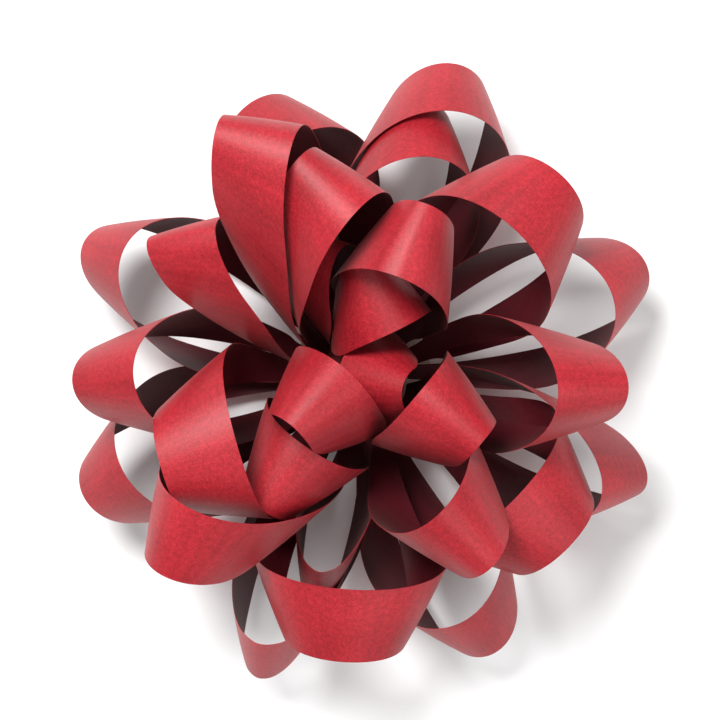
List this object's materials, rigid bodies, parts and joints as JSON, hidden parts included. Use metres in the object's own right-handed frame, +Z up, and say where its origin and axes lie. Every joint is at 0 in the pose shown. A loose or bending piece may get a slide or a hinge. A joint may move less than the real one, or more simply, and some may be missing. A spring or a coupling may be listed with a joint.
{
  "type": "pre-made gift bow",
  "caption": "Star-shaped bow of satin ribbon loops stapled to a round card, with a peel-off adhesive pad to stick it on a wrapped gift.",
  "frame": {"origin": "middle of the release liner's underside, on the surface that the bow rests on", "axes": "+Z up out of the bow, +X along the release liner's finger tab"},
  "size_m": [0.1436, 0.1546, 0.0712],
  "materials": {
    "ribbon": "satin",
    "card": "matt",
    "foam": "matt closed-cell foam",
    "liner": "smooth",
    "steel": "drawn wire"
  },
  "bodies": {
    "bow": {"adhesive_pad": "foam", "base_card": "card", "centre_stack": "ribbon", "loop_fourth_1": "ribbon", "loop_fourth_2": "ribbon", "loop_fourth_3": "ribbon", "loop_fourth_4": "ribbon", "loop_outer_1": "ribbon", "loop_outer_2": "ribbon", "loop_outer_3": "ribbon", "loop_outer_4": "ribbon", "loop_outer_5": "ribbon", "loop_outer_6": "ribbon", "loop_outer_7": "ribbon", "loop_outer_8": "ribbon", "loop_second_1": "ribbon", "loop_second_2": "ribbon", "loop_second_3": "ribbon", "loop_second_4": "ribbon", "loop_second_5": "ribbon", "loop_second_6": "ribbon", "loop_second_7": "ribbon", "loop_second_8": "ribbon", "loop_third_1": "ribbon", "loop_third_2": "ribbon", "loop_third_3": "ribbon", "loop_third_4": "ribbon", "loop_third_6": "ribbon", "loop_top_1": "ribbon", "loop_top_2": "ribbon", "loop_top_3": "ribbon", "staple": "steel"},
    "liner": {"release_liner": "liner"}
  },
  "joints": [
    {"name": "liner_lift", "type": "slide", "parent": "bow", "child": "liner", "axis": [0, 0, -1], "range_m": [0, 0.02]}
  ]
}
